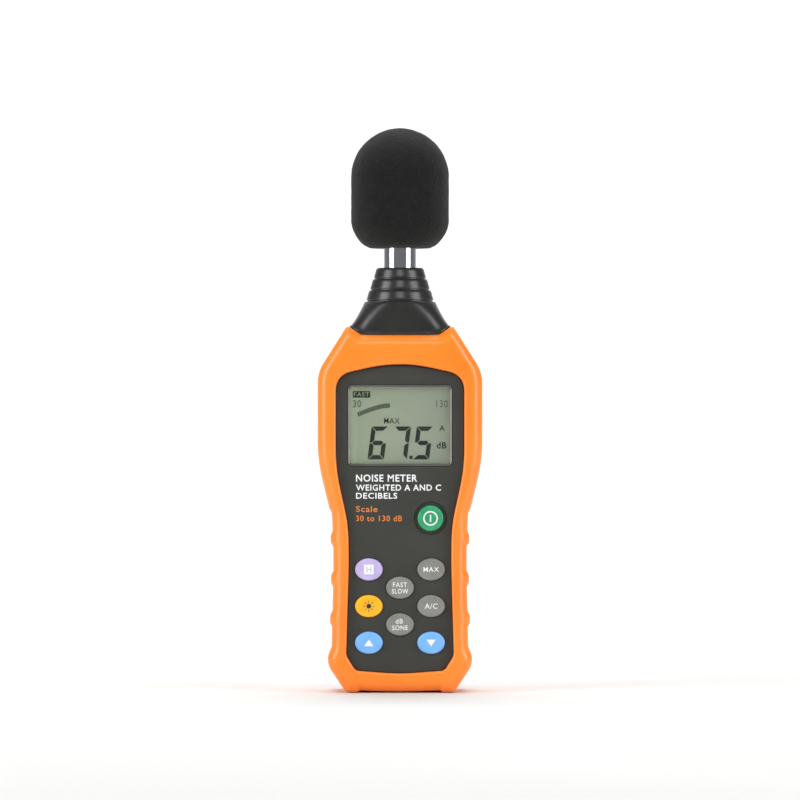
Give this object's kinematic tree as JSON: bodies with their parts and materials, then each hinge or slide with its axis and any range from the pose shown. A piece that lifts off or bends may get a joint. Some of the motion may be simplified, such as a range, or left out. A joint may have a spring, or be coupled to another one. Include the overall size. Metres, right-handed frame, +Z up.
{
  "type": "sound level meter",
  "caption": "Handheld sound level meter with a foam windscreen on a chromed microphone tube, a display, oval keys and a battery bay behind a screwed cover.",
  "frame": {"origin": "middle of the object at the level of its feet, on the axis of the microphone", "axes": "+Z up along the microphone's axis, the display faces -Y, +X to the reader's right"},
  "size_m": [0.066, 0.0396, 0.2268],
  "materials": {
    "front_case": "satin moulded ABS",
    "rear_case": "finely textured moulded ABS",
    "bumper": "smooth satin moulded shell, orange",
    "neck_boot": "satin moulded ABS",
    "seal_rubber": "moulded",
    "nut_metal": "nickel plated",
    "lens": "clear polished acrylic",
    "gasket_foam": "closed-cell foam",
    "display_glass": "reflective liquid crystal cell",
    "frame_plastic": "moulded",
    "light_guide": "diffusing acrylic",
    "lamp": "resin",
    "strip_rubber": "layered conducting rubber",
    "board": "glass-fibre board with solder mask",
    "chip": "moulded epoxy",
    "can_metal": "pressed can",
    "capacitor": "sleeved aluminium can",
    "trimmer": "moulded",
    "mat_rubber": "silicone rubber",
    "carbon": "carbon-filled rubber",
    "chrome": "polished chrome plate",
    "capsule_metal": "turned nickel alloy",
    "diaphragm": "gold-coated foil",
    "backplate": "turned brass",
    "insulator": "ceramic",
    "lead": "insulated lead",
    "brass_insert": "turned brass",
    "screw": "zinc plated",
    "cell_jacket": "printed sleeve",
    "spring": "nickel plated",
    "foam": "open-cell foam",
    "key_green": "moulded silicone with clear coat",
    "key_violet": "moulded silicone with clear coat",
    "key_grey": "moulded silicone with clear coat",
    "key_amber": "moulded silicone with clear coat",
    "key_blue": "moulded silicone with clear coat"
  },
  "bodies": {
    "meter": {"front_case": "front_case", "rear_case": "rear_case", "front_bumper": "bumper", "rear_bumper": "bumper", "neck_boot": "neck_boot", "tube_seal": "seal_rubber", "tube_nut": "nut_metal", "display_lens": "lens", "display_gasket": "gasket_foam", "display_glass": "display_glass", "display_frame": "frame_plastic", "backlight_panel": "light_guide", "backlight_lamps": "lamp", "contact_strips": "strip_rubber", "main_board": "board", "processor_chip": "chip", "converter_chip": "chip", "amplifier_chips": "chip", "regulator_chip": "chip", "quartz_crystal": "can_metal", "filter_capacitors": "capacitor", "chip_resistors": "chip", "level_trimmer": "trimmer", "key_mat": "mat_rubber", "key_contacts": "carbon", "mic_tube": "chrome", "mic_capsule": "capsule_metal", "mic_grid": "capsule_metal", "mic_diaphragm": "diaphragm", "mic_backplate": "backplate", "mic_insulator": "insulator", "mic_pin": "backplate", "preamp_board": "board", "preamp_parts": "chip", "mic_leads": "lead", "tripod_insert": "brass_insert", "cover_insert": "brass_insert", "case_screws": "screw", "board_screws": "screw", "battery_cell_1": "cell_jacket", "battery_cell_2": "cell_jacket", "battery_cell_3": "cell_jacket", "battery_springs": "spring", "battery_contacts": "spring", "battery_leads": "lead"},
    "windscreen": {"windscreen": "foam"},
    "power_key": {"power_key": "key_green"},
    "hold_key": {"hold_key": "key_violet"},
    "max_key": {"max_key": "key_grey"},
    "response_key": {"response_key": "key_grey"},
    "backlight_key": {"backlight_key": "key_amber"},
    "weighting_key": {"weighting_key": "key_grey"},
    "unit_key": {"unit_key": "key_grey"},
    "up_key": {"up_key": "key_blue"},
    "down_key": {"down_key": "key_blue"},
    "battery_cover": {"battery_cover": "rear_case", "cover_pad": "gasket_foam"},
    "cover_screw": {"cover_screw": "screw"}
  },
  "joints": [
    {"name": "windscreen_pull", "type": "slide", "parent": "meter", "child": "windscreen", "axis": [0, 0, 1], "range_m": [0, 0.04]},
    {"name": "power_key_press", "type": "slide", "parent": "meter", "child": "power_key", "axis": [0, 1, 0], "range_m": [0, 0.001], "stiffness_N_per_m": 400},
    {"name": "hold_key_press", "type": "slide", "parent": "meter", "child": "hold_key", "axis": [0, 1, 0], "range_m": [0, 0.001], "stiffness_N_per_m": 400},
    {"name": "max_key_press", "type": "slide", "parent": "meter", "child": "max_key", "axis": [0, 1, 0], "range_m": [0, 0.001], "stiffness_N_per_m": 400},
    {"name": "response_key_press", "type": "slide", "parent": "meter", "child": "response_key", "axis": [0, 1, 0], "range_m": [0, 0.001], "stiffness_N_per_m": 400},
    {"name": "backlight_key_press", "type": "slide", "parent": "meter", "child": "backlight_key", "axis": [0, 1, 0], "range_m": [0, 0.001], "stiffness_N_per_m": 400},
    {"name": "weighting_key_press", "type": "slide", "parent": "meter", "child": "weighting_key", "axis": [0, 1, 0], "range_m": [0, 0.001], "stiffness_N_per_m": 400},
    {"name": "unit_key_press", "type": "slide", "parent": "meter", "child": "unit_key", "axis": [0, 1, 0], "range_m": [0, 0.001], "stiffness_N_per_m": 400},
    {"name": "up_key_press", "type": "slide", "parent": "meter", "child": "up_key", "axis": [0, 1, 0], "range_m": [0, 0.001], "stiffness_N_per_m": 400},
    {"name": "down_key_press", "type": "slide", "parent": "meter", "child": "down_key", "axis": [0, 1, 0], "range_m": [0, 0.001], "stiffness_N_per_m": 400},
    {"name": "battery_cover_lift", "type": "slide", "parent": "meter", "child": "battery_cover", "axis": [0, 1, 0], "range_m": [0, 0.02]},
    {"name": "cover_screw_out", "type": "slide", "parent": "battery_cover", "child": "cover_screw", "axis": [0, 1, 0], "range_m": [0, 0.006]}
  ]
}
